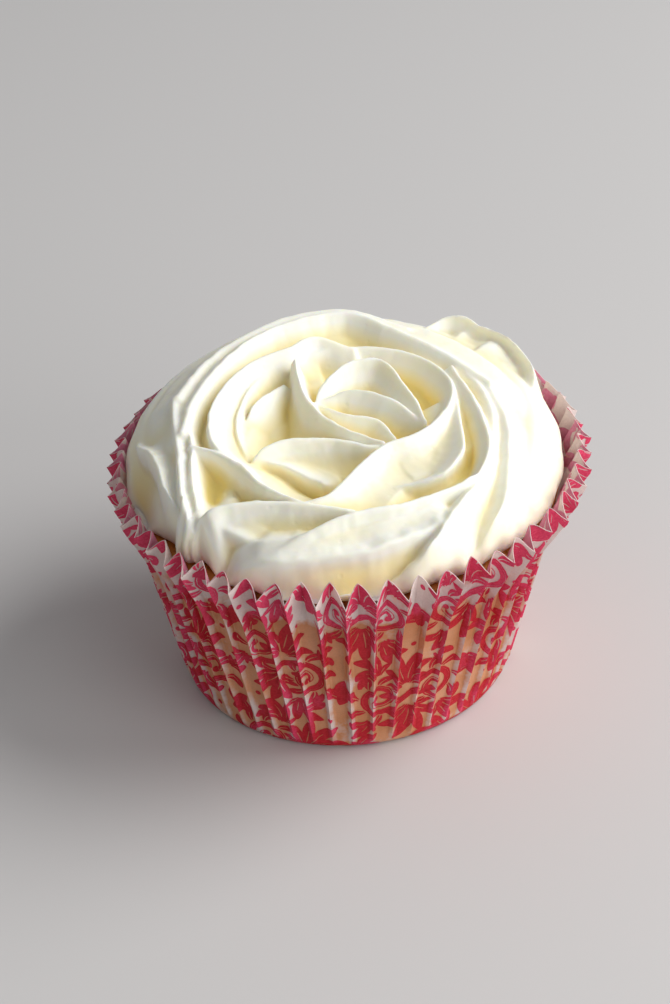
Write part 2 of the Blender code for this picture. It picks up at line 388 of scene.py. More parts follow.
paper = Finish("greaseproof paper", PALE[:3], 0.62)
wet = butter(paper)
browner = paper.ramp(paper.noise(8, 3), 0.38, 0.62)
colour = paper.mix(wet, PALE, paper.mix(browner, SOAKED, BROWN))
fibres = paper.ramp(paper.noise(0.25, 2), 0.3, 0.7, 0.94, 1.04)
fibres = paper.node("CombineColor", {0: fibres, 1: fibres, 2: fibres}).outputs[0]
colour = paper.mix(1.0, colour, fibres, "MULTIPLY")
paper.join(colour, "Base Color")
paper.join(paper.ramp(wet, 0, 1, 0.68, 0.42), "Roughness")
paper.join(paper.bump(paper.noise(0.35, 3), 0.02, 0.5), "Normal")
glowing(paper, colour, 0.32)

# %% The flat sheet
ACROSS = (0.0, 0.08, 0.3, 0.46, 0.62, 0.82, 1.0)        # columns in half a pleat
ROWS = np.concatenate([np.linspace(0, BASE_RADIUS - 1.4, 5),
                       BASE_RADIUS + np.array([-1.0, -0.6, -0.25, 0, 0.4, 0.9, 1.5, 2.2]),
                       BASE_RADIUS + np.linspace(3.2, SLANT + RIM_SHIFT, 26)])


def column_turns():
    """Angles of all the columns round the disc, as turns from 0 to 1."""
    turns = []
    for pleat in range(PLEATS):
        turns += [pleat + 0.5 * a for a in ACROSS[:-1]]
        turns += [pleat + 1 - 0.5 * a for a in ACROSS[:0:-1]]
    return np.array(turns + [PLEATS]) / PLEATS


def flat_sheet():
    """A grid whose columns sit on the creases, as flat points of the disc."""
    turns = column_turns()
    sheet = bmesh.new()
    bmesh.ops.create_grid(sheet, x_segments=len(turns) - 1, y_segments=len(ROWS) - 1, size=0.5)
    across = np.array([v.co.x + 0.5 for v in sheet.verts]) * (len(turns) - 1)
    up = np.array([v.co.y + 0.5 for v in sheet.verts]) * (len(ROWS) - 1)
    angle = turns[np.round(across).astype(int)] * TURN
    far = ROWS[np.round(up).astype(int)]
    far = np.minimum(far, BASE_RADIUS + rim_at(angle))
    return sheet, far * np.cos(angle), far * np.sin(angle)


# %% Fold the sheet
def place(sheet, points):
    """Move a bmesh's vertices to new points."""
    for vert, point in zip(sheet.verts, points):
        vert.co = point


def face_out(sheet):
    """Turn the faces away from the cake, which stands round the Z axis."""
    middle = Vector((0, 0, 15))
    away = sum(f.normal.dot(f.calc_center_median() - middle) * f.calc_area() for f in sheet.faces)
    if away < 0:
        bmesh.ops.reverse_faces(sheet, faces=sheet.faces)


sheet, flat_x, flat_y = flat_sheet()
place(sheet, fold(flat_x, flat_y))
wetness = sheet.verts.layers.float.new("soaked")
for vert, value in zip(sheet.verts, soaked(flat_x, flat_y)):
    vert[wetness] = value
bmesh.ops.remove_doubles(sheet, verts=sheet.verts, dist=1e-4)
sheet.normal_update()
face_out(sheet)
case = piece("case", sheet, paper, "case_paper", smooth=False)
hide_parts("paper_case")
wall = case.modifiers.new("paper thickness", "SOLIDIFY")
wall.thickness, wall.offset = PAPER * MM, -1

# %% [markdown]
# ## The print
# The paper was printed flat, before it was pleated, with a traditional damask of scrolling
# acanthus leaves in crimson.  Painted on, its thin pale veins would blur, so the ink is a
# mesh as thin as ink: every lobe of every leaf is one curved outline, laid out on the flat
# disc, cut where the paper will be creased, and then folded by the same rule as the paper.
# One motif is drawn, turned half round to complete it, and repeated in staggered rows, as a
# printing roller does.

# %% Leaf lobes and fans
LOBE = (0, 0.12, 0.27, 0.43, 0.58, 0.72, 0.84, 0.93, 0.985, 1.0)
VEIN = 0.20             # width of the bare vein up the middle of a lobe
FOOT = 0.38             # width at a lobe's foot, as a share of its greatest width
WIDEST, REST = 0.58, 0.42       # a lobe is widest at this share; over the rest it narrows


def lobe(base, heading, length, width, bend, vein=0.0):
    """A curved lobe: narrow base, round tip, and a vein that runs a share of its length."""
    left, right, slit = [], [], []
    x, y = base
    way = heading - 0.5 * bend
    for i, t in enumerate(LOBE):
        if t < WIDEST:
            half = FOOT + (1 - FOOT) * math.sin(0.5 * math.pi * t / WIDEST)
        else:
            half = max(0, 1 - ((t - WIDEST) / REST)**2)**0.72
        half *= 0.5 * width
        s, c = math.sin(way), math.cos(way)
        left.append((x - s * half, y + c * half))
        right.append((x + s * half, y - c * half))
        if t < vein:
            thin = 0.5 * VEIN * (1 - 0.6 * t / vein)
            slit.append(((x - s * thin, y + c * thin), (x + s * thin, y - c * thin)))
        if i + 1 < len(LOBE):
            share = LOBE[i + 1] - t
            way += bend * share
            x += math.cos(way) * length * share
            y += math.sin(way) * length * share
    outline = left + right[-2::-1]
    if vein and width > 0.9:
        outline += [pair[1] for pair in slit] + [pair[0] for pair in slit[::-1]]
    return outline


def fan(base, heading, length, spread, lobes, curl=0.6, lean=0.0, fall=0.42, swirl=0.0):
    """Lobes spreading from one point, shorter towards the sides, all bent by the swirl."""
    made = []
    each = spread / (lobes - 1)
    for i in range(lobes):
        off = i / (lobes - 1) - 0.5
        size = length * (1 - fall * (2 * abs(off))**1.5) * (1 + lean * off)
        way = heading + spread * off
        width = max(2 * math.tan(0.5 * each) * size * 0.66 - 0.28, 0.6)
        start = 0.08 * length
        foot = (base[0] + math.cos(way) * start, base[1] + math.sin(way) * start)
        bend = 2 * curl * off + swirl
        made.append(lobe(foot, way + 0.35 * curl * off, size - start, width, bend, 0.7))
    return made


# %% Scrolls and buds
def band(path, thick):
    """A ribbon along a path, thick(share of the way) mm wide."""
    left, right = [], []
    for i, (x, y) in enumerate(path):
        before, after = path[max(i - 1, 0)], path[min(i + 1, len(path) - 1)]
        way = math.atan2(after[1] - before[1], after[0] - before[0])
        half = 0.5 * thick(i / (len(path) - 1))
        left.append((x - math.sin(way) * half, y + math.cos(way) * half))
        right.append((x + math.sin(way) * half, y - math.cos(way) * half))
    return left + right[::-1]


def beside(path, gap):
    """The same path moved sideways."""
    moved = []
    for i, (x, y) in enumerate(path):
        before, after = path[max(i - 1, 0)], path[min(i + 1, len(path) - 1)]
        way = math.atan2(after[1] - before[1], after[0] - before[0])
        moved.append((x - math.sin(way) * gap, y + math.cos(way) * gap))
    return moved


def bud(centre, radius, sides=10):
    """A round dot."""
    return [(centre[0] + radius * math.cos(TURN * k / sides),
             centre[1] + radius * math.sin(TURN * k / sides)) for k in range(sides)]


SCROLL = (-5.3, 0.2)    # middle of the coil
SCROLL_RADIUS, SCROLL_START, SCROLL_TURNS = 3.2, math.radians(72), 1.35


def on_scroll(t, out=0.0):
    """A point of the coil, t from its outer end to its eye, and its angle."""
    far = SCROLL_RADIUS * (0.22 + 0.78 * (1 - t)**0.85) + out
    way = SCROLL_START + TURN * SCROLL_TURNS * t
    return (SCROLL[0] + far * math.cos(way), SCROLL[1] + far * math.sin(way)), way


# %% One motif
def motif():
    """Half of the motif, and the same half turned round."""
    coil = [on_scroll(i / 24)[0] for i in range(25)]
    stem = coil[::-1] + [(-2.6, 2.35), (-1.3, 1.15), (0, 0)]
    swell = lambda t: math.sin(0.5 * math.pi * min(1, t * 1.15))
    half = [band(beside(stem, -0.14), lambda t: 0.40 + 0.42 * swell(t)),
            band(beside(stem, 0.46), lambda t: 0.10 + 0.24 * swell(t)),
            bud(coil[-1], 0.62)]
    for k in range(7):
        at, way = on_scroll(0.01 + 0.58 * k / 6, 0.80)
        half.append(lobe(at, way + math.radians(50), 3.5 - 0.22 * k, 1.5 - 0.05 * k, 1.3, 0.7))
    half += fan((0.4, 2.0), math.radians(88), 8.4, 2.2, 6, curl=1.5, lean=0.2, swirl=0.6)
    half += fan((5.8, 4.6), math.radians(50), 6.8, 1.5, 4,
                curl=1.7, lean=-0.5, fall=0.3, swirl=-0.9)
    half += fan((-6.0, 5.0), math.radians(112), 5.2, 1.2, 3,
                curl=1.7, lean=0.5, fall=0.3, swirl=1.1)
    half += fan((11.6, -1.8), math.radians(70), 5.0, 1.3, 3,
                curl=1.7, lean=-0.3, fall=0.35, swirl=1.1)
    half += [lobe((2.4, 0.9), math.radians(-12), 3.0, 1.4, 0.9),
             lobe((9.2, 1.6), math.radians(100), 3.0, 1.3, 0.9),
             bud((12.4, 6.4), 0.45)]
    return half + [[(-x, -y) for x, y in outline] for outline in half]


outlines = motif()
print("one motif:", len(outlines), "outlines,", sum(len(o) for o in outlines), "points")

# %% [markdown]
# ## Cutting and folding the ink
# Each motif is filled on the flat disc, cut along every crease that crosses it and trimmed
# at the rim.  Ink printed on the outside also shows faintly on the inside of the free edge,
# where there is no cake behind the paper, so a second, paler layer lies inside there.

# %% Fill and cut one motif
REPEAT_X, REPEAT_Y = 25.0, 17.6         # size of the repeat
PRINT_TURN = math.radians(17)           # the sheet isn't square to our view
MOTIF_REACH = 14                        # a motif set further than this past the rim is left out
INK_LIFT, INSIDE_LIFT = 0.045, 0.03     # clear of the paper, outside and inside
BEND_FROM, BEND_TO = 21, 30             # radii between which the ink follows the base's corner
BEND_EDGE = 0.7                         # edges longer than this are halved there


def crease_angles(low, high):
    """Angles of the creases and columns between two angles."""
    angles = []
    for pleat in range(math.floor(low * PLEATS / TURN), math.ceil(high * PLEATS / TURN) + 1):
        for a in ACROSS[:-1]:
            angles += [pleat + 0.5 * a] + ([pleat - 0.5 * a] if a else [])
        angles.append(pleat + 0.5)
    return [a * TURN / PLEATS for a in sorted(set(angles)) if low < a * TURN / PLEATS < high]


def laid_out(spot, turn, outline):
    """An outline moved and turned to its place, kept inside the rim."""
    c, s = math.cos(turn), math.sin(turn)
    points = []
    for x, y in outline:
        px, py = spot[0] + c * x - s * y, spot[1] + s * x + c * y
        far = math.hypot(px, py)
        limit = BASE_RADIUS + float(rim_at(math.atan2(py, px))) - 0.03
        shrink = min(1, limit / far)
        points.append((px * shrink, py * shrink, far > limit))
    return points


def filled(points):
    """A bmesh of one flat shape, as triangles."""
    bm = bmesh.new()
    kept = [p for i, p in enumerate(points) if math.dist(p[:2], points[i - 1][:2]) > 1e-4]
    if len(kept) > 2:
        bm.faces.new([bm.verts.new((x, y, 0)) for x, y, _ in kept])
    bmesh.ops.triangulate(bm, faces=bm.faces, ngon_method="EAR_CLIP")
    return bm


def cut_at_creases(bm):
    """Cut a flat shape along every crease that crosses it."""
    spots = [v.co for v in bm.verts]
    if max(p.xy.length for p in spots) < BASE_RADIUS - 1:
        return
    centre = math.atan2(sum(p.y for p in spots), sum(p.x for p in spots))
    ways = [(math.atan2(p.y, p.x) - centre + math.pi) % TURN - math.pi for p in spots]
    for angle in crease_angles(centre + min(ways), centre + max(ways)):
        bmesh.ops.bisect_plane(bm, geom=bm.verts[:] + bm.edges[:] + bm.faces[:], dist=1e-5,
                               plane_co=(0, 0, 0),
                               plane_no=(-math.sin(angle), math.cos(angle), 0))


# %% Lay out all the motifs
def print_sheet():
    """All motifs on the flat disc, cut at the creases."""
    sheet = bmesh.new()
    scrap = bpy.data.meshes.new("scrap")
    c, s = math.cos(PRINT_TURN), math.sin(PRINT_TURN)
    for i in range(-4, 5):
        for j in range(-5, 6):
            x, y = REPEAT_X * (i + 0.5 * (j % 2)), REPEAT_Y * j
            spot = (c * x - s * y, s * x + c * y)
            if math.hypot(*spot) > BASE_RADIUS + SLANT + MOTIF_REACH:
                continue
            for outline in outlines:
                points = laid_out(spot, PRINT_TURN, outline)
                if all(p[2] for p in points):
                    continue
                part = filled(points)
                cut_at_creases(part)
                part.to_mesh(scrap)
                sheet.from_mesh(scrap)
                part.free()
    bpy.data.meshes.remove(scrap)
    return sheet


def fold_print(sheet, lift):
    """Fold the flat ink with the paper."""
    bmesh.ops.triangulate(sheet, faces=sheet.faces)
    corner = [e for e in sheet.edges if e.calc_length() > BEND_EDGE
              and BEND_FROM < max(v.co.xy.length for v in e.verts) < BEND_TO]
    bmesh.ops.subdivide_edges(sheet, edges=corner, cuts=1)
    bmesh.ops.triangulate(sheet, faces=sheet.faces)
    x = np.array([v.co.x for v in sheet.verts])
    y = np.array([v.co.y for v in sheet.verts])
    wetness = sheet.verts.layers.float.new("soaked")
    for vert, value in zip(sheet.verts, soaked(x, y)):
        vert[wetness] = value
    place(sheet, fold_and_lift(x, y, lift))
    sheet.normal_update()
    face_out(sheet)
    if lift < 0:
        bmesh.ops.reverse_faces(sheet, faces=sheet.faces)
    return sheet


# %% Ink finishes
ink = Finish("crimson ink", (0.5, 0.01, 0.03), 0.55)
ink_wet = butter(ink)
ink_cloud = ink.ramp(ink.noise(0.35, 2), 0.35, 0.7)
fresh = ink.mix(ink_cloud, (0.76, 0.050, 0.135, 1), (0.86, 0.095, 0.20, 1))
deep = ink.mix(ink_cloud, (0.58, 0.014, 0.026, 1), (0.69, 0.030, 0.048, 1))
ink_colour = ink.mix(ink_wet, fresh, deep)
ink.join(ink_colour, "Base Color")
ink.join(ink.bump(ink.noise(0.35, 3), 0.02, 0.5), "Normal")
ink.shader.inputs["Specular IOR Level"].default_value = 0.25
glowing(ink, ink_colour, 0.28)

show_through = Finish("ink seen through the paper", (0.80, 0.36, 0.50), 0.7)
pale_cloud = show_through.ramp(show_through.noise(0.4, 2), 0.3, 0.7)
pink = show_through.mix(pale_cloud, (0.82, 0.24, 0.40, 1), (0.86, 0.36, 0.50, 1))
show_through.join(pink, "Base Color")
glowing(show_through, pink, 0.3)

# %% Make the ink
FREE_EDGE = BASE_RADIUS + 26            # the wall stands clear of the cake beyond this


def make_ink():
    """The print outside, and what shows of it inside the free edge."""
    flat = print_sheet()
    inside = flat.copy()
    hidden = [f for f in inside.faces if max(v.co.xy.length for v in f.verts) < FREE_EDGE]
    bmesh.ops.delete(inside, geom=hidden, context="FACES")
    print("ink:", len(flat.faces), "faces outside,", len(inside.faces), "inside")
    return (piece("case_print", fold_print(flat, INK_LIFT), ink, "case_paper", smooth=False),
            piece("case_print_inside", fold_print(inside, -PAPER - INSIDE_LIFT), show_through,
                  "case_paper", smooth=False))


make_ink()

# %% [markdown]
# ## The sponge
# The cake was baked in its case, so its side has the case's shape and only the edge of the
# top crust shows, in the gaps that the icing leaves at the front.  It is a turned shape: one
# profile spun round the middle, rounded at the crust's edge and then pressed into the oval
# of the case.  Its crust is golden brown, darker in blotches, with fine open pores whose
# middles are painted dark as shade.

# %% Sponge finish
crust = Finish("golden crust", (0.45, 0.20, 0.05), 0.75)
blotch = crust.ramp(crust.noise(3.5, 4), 0.32, 0.68)
baked = crust.mix(blotch, (0.66, 0.25, 0.035, 1), (0.42, 0.125, 0.010, 1))
pores = crust.node("TexVoronoi", {"Vector": crust.place, "Scale": 1 / (0.9 * MM)})
pore_bump_and_shade = crust.ramp(pores.outputs["Distance"], 0.1, 0.45)
# the middle of each pore is painted dark, as painted shade inside the hole; the same mask makes
# the pits
crust.join(crust.mix(pore_bump_and_shade, (0.34, 0.10, 0.012, 1), baked), "Base Color")
crumb = crust.bump(crust.noise(0.4, 4), 0.12, 0.8)
crust.join(crust.bump(pore_bump_and_shade, 0.12, 0.7, crumb), "Normal")

# %% Turn the sponge
SPONGE_STEPS = 168
# share of the space inside the pleats, and height
SPONGE_PROFILE = [(0, 0.9), (0.95, 0.9), (0.99, 1.4), (1.0, 2.4), (1.0, 20), (1.0, 30.6),
                  (0.995, 31.3), (0.97, 31.75), (0.9, 31.8), (0, 31.8)]


def inside_pleats(height, angle):
    """Radius of the inner folds at a height."""
    climb = height / math.cos(math.radians(LEAN))
    radius = wall_middle(climb, angle)
    return radius + half_pleat(climb, radius, 1.0)[2] - 0.15


def sponge_mesh():
    """The profile of the cake, spun round the Z axis and fitted into the oval case."""
    bm = bmesh.new()
    line = [bm.verts.new((r, 0, z)) for r, z in SPONGE_PROFILE]
    edges = [bm.edges.new(pair) for pair in zip(line, line[1:])]
    bmesh.ops.subdivide_edges(bm, edges=edges, cuts=3)
    bmesh.ops.spin(bm, geom=bm.verts[:] + bm.edges[:], axis=(0, 0, 1), cent=(0, 0, 0),
                   angle=TURN, steps=SPONGE_STEPS, use_merge=True)
    bmesh.ops.remove_doubles(bm, verts=bm.verts, dist=1e-4)
    bmesh.ops.recalc_face_normals(bm, faces=bm.faces)
    for vert in bm.verts:
        vert.co.xy *= inside_pleats(vert.co.z, math.atan2(vert.co.y, vert.co.x))
    return bm


sponge = piece("cake", sponge_mesh(), crust, "baked_sponge")
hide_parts("sponge")
low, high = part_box("sponge")
print("sponge solid from", [round(v / MM, 2) for v in low], "to", [round(v / MM, 2) for v in high])

# %% [markdown]
# ## The buttercream rose
# The icing is one rope, squeezed through a star nozzle from the middle outward while the
# hand goes round anticlockwise.  Each tooth of the nozzle leaves a ridge with a thin lip
# and a smooth hollow beside it, and the rope tears off in a ribbed tail at the front left.
# Sculpting that from a turned dome loses the lips.  So each ridge is written down as the
# line of its lip, with the width and depth of the hollow on either side; the icing's
# surface is simply the highest ridge above each point, with soft creases in between.

# %% The ridges of the rose
# name: (outer width, outer depth), (inner width, inner depth), foot, lip line (x, y, z)
RIDGES = {
    "front fold": ((5.5, 3.2), (1.6, 3.4), 0.5, [
        (-13.5, -28.4, 34), (-12.3, -28.3, 35), (-8.1, -27.4, 38.4), (-3.4, -26.1, 40.6),
        (1.9, -24.6, 41.5), (7.1, -23.6, 41.7), (12.5, -21.6, 42), (16.6, -19.2, 42.4),
        (18.8, -14, 42.8), (18.5, -6, 43.5), (15.5, 5.5, 44)]),
    "front fold, lower edge": ((0.9, 1.6), (2.6, 1.7), 1.2, [
        (-14.2, -28.4, 34.8), (-12, -29, 36), (-9.5, -29.4, 36.8), (-6.3, -29.7, 37.3),
        (-2.6, -29.7, 37.7), (1.4, -29.4, 38), (5.3, -28.6, 38.7), (9, -27.6, 39.2),
        (12, -26.4, 39.8)]),
    "right fold": ((6.0, 2.4), (2.4, 3.6), 0.5, [
        (5.5, -31.2, 33.6), (7, -30.8, 35), (9.2, -30.2, 36.8), (10.6, -29.4, 38.2),
        (12.1, -27.2, 39.8), (14.3, -23.8, 41), (18, -18.2, 41.8), (20, -11.5, 42.1),
        (20, -1.5, 43), (16, 8.5, 43.5)]),
    "far right fold": ((6.0, 2.2), (2.2, 2.6), 0.4, [
        (16.6, -26.9, 34.5), (18.8, -24.9, 37), (20.4, -21.6, 39.2), (21.6, -15, 41.2),
        (22.2, -6.7, 42.2), (20.5, 1.5, 43)]),
    "left low fold": ((3.6, 1.8), (1.8, 2.2), 1.8, [
        (-18.9, -21.8, 39.6), (-18, -21.5, 40.3), (-16.4, -21.2, 40.8), (-13.8, -21.1, 41.2),
        (-10.2, -21.4, 41.4), (-6, -22.3, 41.4), (-3.3, -22.9, 41.3), (-0.1, -23.9, 41.1)]),
    "left low fold, lower edge": ((0.7, 3.4), (1.6, 1.0), 1.5, [
        (-19.2, -21.9, 37.7), (-18.1, -22.2, 38), (-16.7, -22.9, 38), (-14.8, -24.1, 37.8),
        (-12.4, -25.4, 37.4), (-10.3, -26.6, 36.9)]),
    "left high fold": ((4.6, 4.6), (1.6, 2.4), 0.6, [
        (-20.4, -9.2, 42.6), (-17.3, -10.5, 42.7), (-13.8, -13.5, 42.6), (-10.9, -17.8, 42.1),
        (-7.9, -20.5, 41.7), (-2.7, -23.2, 41.3), (0.6, -23.9, 41.1)]),
    "second ring": ((3.6, 3.2), (4.0, 3.0), 0.9, [
        (1.8, 11.6, 44), (-3.6, 13.2, 45.2), (-6.7, 10.8, 45.1), (-10.8, 8.9, 44.8),
        (-13.9, 6, 44.4), (-16.4, 1.7, 44), (-17.7, -4.6, 43.4), (-17.1, -8.9, 42.9),
        (-13.1, -13.7, 41.8)]),
    "rim of the bowl": ((6.0, 2.2), (2.6, 6.0), 0.9, [
        (-6, -21, 40.2), (-2.6, -19.9, 41), (1.1, -15.8, 42), (5.8, -10.5, 42.7),
        (9.3, -9.2, 43), (14.1, -3.6, 43.5), (15, 0.5, 43.6), (11.7, 7.8, 43.8),
        (4.7, 11.6, 43.9), (-5, 11, 43.6), (-11, 6.7, 43), (-14.3, -1.5, 41.6),
        (-13.3, -9, 39.6)]),
    "slit": ((1.6, 3.6), (2.6, 1.2), 0.9, [
        (6.7, -17.8, 39.6), (13, -16.6, 41.2), (15.6, -13.1, 42.2), (16, -8, 42.8),
        (16, -2, 43.2)]),
    "front petal": ((4.0, 2.8), (2.4, 4.0), 0.9, [
        (-13, -10.2, 39.6), (-10.6, -8.6, 41.2), (-7.8, -7.4, 41.8), (-4.4, -7.2, 41.9),
        (-0.3, -7.6, 41.7), (3.1, -8.9, 41.2), (6, -8.9, 40.7)]),
    "front petal, lower edge": ((0.9, 2.6), (2.2, 0.6), 0.9, [
        (-13.2, -9.8, 38.8), (-11.1, -9.9, 39.6), (-8.3, -10.9, 39.7), (-5.9, -12.4, 39.3),
        (-3.3, -14, 38.9)]),
    "left petal": ((5.5, 5.4), (1.5, 4.6), 0.9, [
        (-5.7, 7.5, 45), (-4.8, 2.4, 43.9), (-2.8, -1.8, 43), (0.8, -5.8, 42.1),
        (5.2, -8.4, 41.4)]),
    "side petal": ((3.0, 4.0), (2.0, 3.0), 0.9, [
        (-8, 5.3, 42.5), (-11.5, 0.9, 42.3), (-14, -1.4, 40.4)]),
    "tent petal": ((2.4, 5.4), (2.4, 4.0), 0.9, [
        (11.3, -5, 42), (8.6, 0.6, 44), (4.7, 6.6, 45.2), (1.7, 6.2, 45.1), (-1.5, 3.5, 44),
        (-3.4, 1.1, 42)]),
    "inner rib": ((1.6, 2.2), (2.4, 3.0), 0.9, [
        (10.6, -4.5, 41.5), (6.7, -1, 43.1), (0.8, 1.7, 43.1), (-2.5, 1.5, 42)]),
    "lowest petal": ((1.6, 2.6), (2.4, 2.2), 0.9, [
        (7, -6.6, 40.6), (4.7, -3.4, 41.6), (0.6, -1.9, 41.9), (-2.6, 0.6, 41.6)]),
    "back ruffle": ((1.2, 3.0), (3.6, 2.2), 0.9, [
        (12.5, 22.5, 40.2), (16.2, 24.2, 41.3), (19.6, 23.4, 41.6), (21.2, 21.9, 41),
        (23.8, 20, 41.4), (26.3, 15.4, 41), (27.6, 11.2, 40.2), (27.6, 8, 38.8)]),
    "tail, left rib": ((0.7, 5.0), (2.2, 2.4), 0.5, [
        (-29.2, 0.6, 36.8), (-28, -3.4, 38.8), (-26.5, -6.4, 40), (-25.1, -10.3, 40.5),
        (-24.5, -13.4, 40.4), (-23.9, -16.4, 40), (-23.2, -18.4, 39.4), (-22.7, -19.8, 38.6),
        (-22.5, -20.8, 37.4), (-22.4, -21.6, 36)]),
    "tail, middle rib": ((1.5, 2.0), (1.8, 1.4), 0.8, [
        (-23.2, 2.5, 43), (-22.8, -4, 42.7), (-22.3, -8, 42.3), (-21.9, -12.3, 41.9),
        (-21.6, -16.2, 41.4), (-21.3, -19.3, 40.5), (-21.2, -21, 39.2), (-21.3, -22, 37.8)]),
    "tail, right rib": ((1.6, 1.3), (0.9, 4.8), 0.8, [
        (-21.2, -1, 43.3), (-20.3, -7.9, 42.6), (-19.9, -12.3, 42.1), (-19.5, -16.2, 41.5),
        (-19.3, -19.2, 40.6), (-19.4, -20.8, 39.4), (-19.7, -21.8, 37.6)]),
    "outer ring": ((6.0, 1.8), (2.6, 2.8), 0.3, [
        (20.5, 2, 43.4), (14.6, 9.4, 44), (7.8, 15.6, 44.6), (1.4, 20.3, 45), (-5.2, 19, 45),
        (-11.1, 15.2, 44.9), (-16.1, 9, 44.5), (-20.2, 0.4, 43.7), (-21.4, -5.9, 43)]),
    "outer ring, second rib": ((4.0, 1.2), (1.6, 1.2), 0.3, [
        (10, 18, 43.4), (1, 22.4, 44.4), (-6.5, 21.3, 44.4), (-13, 17, 44.2), (-18.6, 10.5, 43.9),
        (-22.4, 2.5, 43.4)]),
}
print(len(RIDGES), "ridges")

# %% General height of the rose
CROWN, CROWN_DIP = 43.0, 0.5        # height of the lips, a little less in the middle
SHOULDER, SHOULDER_DROP = 20.0, 9.5     # where the rose starts to turn down, and how far
ROUNDNESS = 2.3
HOLLOWS = [(0, -6), (19, -6), (22, -5), (25, -3), (27, -1.7), (28.5, -1.1), (30, -0.8),
           (32.2, -0.5)]                # floor of the hollows, below the lips
BACK_RISE = 0.06        # the rose stands this much taller for each mm towards the back
CREASE = 0.26           # how softly two ridges meet
DEEPER = 1.25           # every hollow is cut this much deeper than listed
SHARP = 2.2             # how quickly a hollow falls away from its lip
LIP_ROUND = 0.45        # roundness of the lips
FLANK, FAR_DROP = 4.0, 0.6      # a ridge's foot dives this fast beyond this many mm
DIPS = [(-28.8, -12.0, 2.8, 9.0, 4.4), (-18.2, -16.0, 1.9, 4.2, 3.2),
        (-17.6, -26.2, 4.0, 2.4, 1.4)]      # low spots: x, y, reach across and along, depth


def stations(line, value):
    """Read a value off a short list of stations."""
    return np.interp(value, [s[0] for s in line], [s[1] for s in line])


def lip_level(x, y):
    """General level of the lips, lower beside the tail and under the front folds."""
    r = np.hypot(x, y)
    level = CROWN - CROWN_DIP * np.clip(1 - r / SHOULDER, 0, 1) + BACK_RISE * y
    level = level - SHOULDER_DROP * (np.maximum(r - SHOULDER, 0) / 12.2)**ROUNDNESS
    for at_x, at_y, across, along, deep in DIPS:
        level = level - deep * np.exp(-((x - at_x) / across)**2 - ((y - at_y) / along)**2)
    return level


def smooth_line(points, step=0.45):
    """A smooth curve through a few points, sampled every step mm."""
    points = np.array(points, float)
    at = np.concatenate([[0], np.cumsum(np.linalg.norm(np.diff(points, axis=0), axis=1))])
    slope = np.gradient(points, at, axis=0)
    t = np.linspace(0, at[-1], int(at[-1] / step) + 2)
    i = np.clip(np.searchsorted(at, t) - 1, 0, len(at) - 2)
    h = (at[i + 1] - at[i])[:, None]
    u = ((t - at[i])[:, None]) / h
    return ((2 * u**3 - 3 * u**2 + 1) * points[i] + (u**3 - 2 * u**2 + u) * h * slope[i]
            + (3 * u**2 - 2 * u**3) * points[i + 1] + (u**3 - u**2) * h * slope[i + 1])


def wobble(x, y, size, seed):
    """Gentle random waves from -1 to 1, with lumps size mm across."""
    lattice = np.random.default_rng(seed).uniform(-1, 1, (64, 64))
    u, v = x / size + 31, y / size + 31
    i, j = np.floor(u).astype(int), np.floor(v).astype(int)
    a, b = ease(u - i), ease(v - j)
    near = lattice[i % 64, j % 64] * (1 - a) + lattice[(i + 1) % 64, j % 64] * a
    far = lattice[i % 64, (j + 1) % 64] * (1 - a) + lattice[(i + 1) % 64, (j + 1) % 64] * a
    return near * (1 - b) + far * b


# %% Height of one ridge, and of all of them
def ridge_height(x, y, outer, inner, foot, lip):
    """Height of a ridge above the general lip level, at points near it."""
    step = np.gradient(lip[:, :2], axis=0)
    long = np.linalg.norm(step, axis=1)
    rise = lip[:, 2] - lip_level(lip[:, 0], lip[:, 1])
    climb = np.gradient(rise)
    far = (x[:, None] - lip[None, :, 0])**2 + (y[:, None] - lip[None, :, 1])**2
    near = np.argmin(far, axis=1)
    off_x, off_y = x - lip[near, 0], y - lip[near, 1]
    way_x, way_y = step[near, 0] / long[near], step[near, 1] / long[near]
    past = np.clip((off_x * way_x + off_y * way_y) / long[near], -0.5, 0.5)
    off_x, off_y = off_x - past * step[near, 0], off_y - past * step[near, 1]
    away = np.hypot(off_x, off_y)
    side = off_x * way_y - off_y * way_x
    share = 0.5 + 0.5 * np.clip(side / np.maximum(away, 1e-6), -1, 1)
    width = outer[0] * share + inner[0] * (1 - share)
    depth = outer[1] * share + inner[1] * (1 - share)
    away = np.hypot(away, LIP_ROUND) - LIP_ROUND
    hollow = depth * (1 - (1 - np.clip(away / width, 0, 1))**SHARP)
    beyond = np.maximum(away - width, 0)
    fall = foot * beyond + FAR_DROP * np.maximum(beyond - FLANK, 0)**2
    return rise[near] + past * climb[near] - hollow - fall


def icing_height(x, y):
    """Top of the icing: the highest ridge wins."""
    best = stations(HOLLOWS, np.hypot(x, y))
    ragged_x = x + 0.10 * wobble(x, y, 1.3, 1) + 0.05 * wobble(x, y, 0.5, 2)
    ragged_y = y + 0.10 * wobble(x, y, 1.3, 3) + 0.05 * wobble(x, y, 0.5, 4)
    for outer, inner, foot, points in RIDGES.values():
        outer, inner = (outer[0], outer[1] * DEEPER), (inner[0], inner[1] * DEEPER)
        lip = smooth_line(points)
        reach = max(outer[0], inner[0]) + FLANK + 3
        box = ((x > lip[:, 0].min() - reach) & (x < lip[:, 0].max() + reach)
               & (y > lip[:, 1].min() - reach) & (y < lip[:, 1].max() + reach))
        height = ridge_height(ragged_x[box], ragged_y[box], outer, inner, foot, lip)
        share = np.clip(0.5 + 0.5 * (height - best[box]) / CREASE, 0, 1)
        best[box] = best[box] * (1 - share) + height * share + CREASE * share * (1 - share)
    return lip_level(x, y) + best


# %% A fine height chart, slightly softened
CHART_STEP = 0.16
chart_axis = np.arange(-32, 32 + CHART_STEP, CHART_STEP)


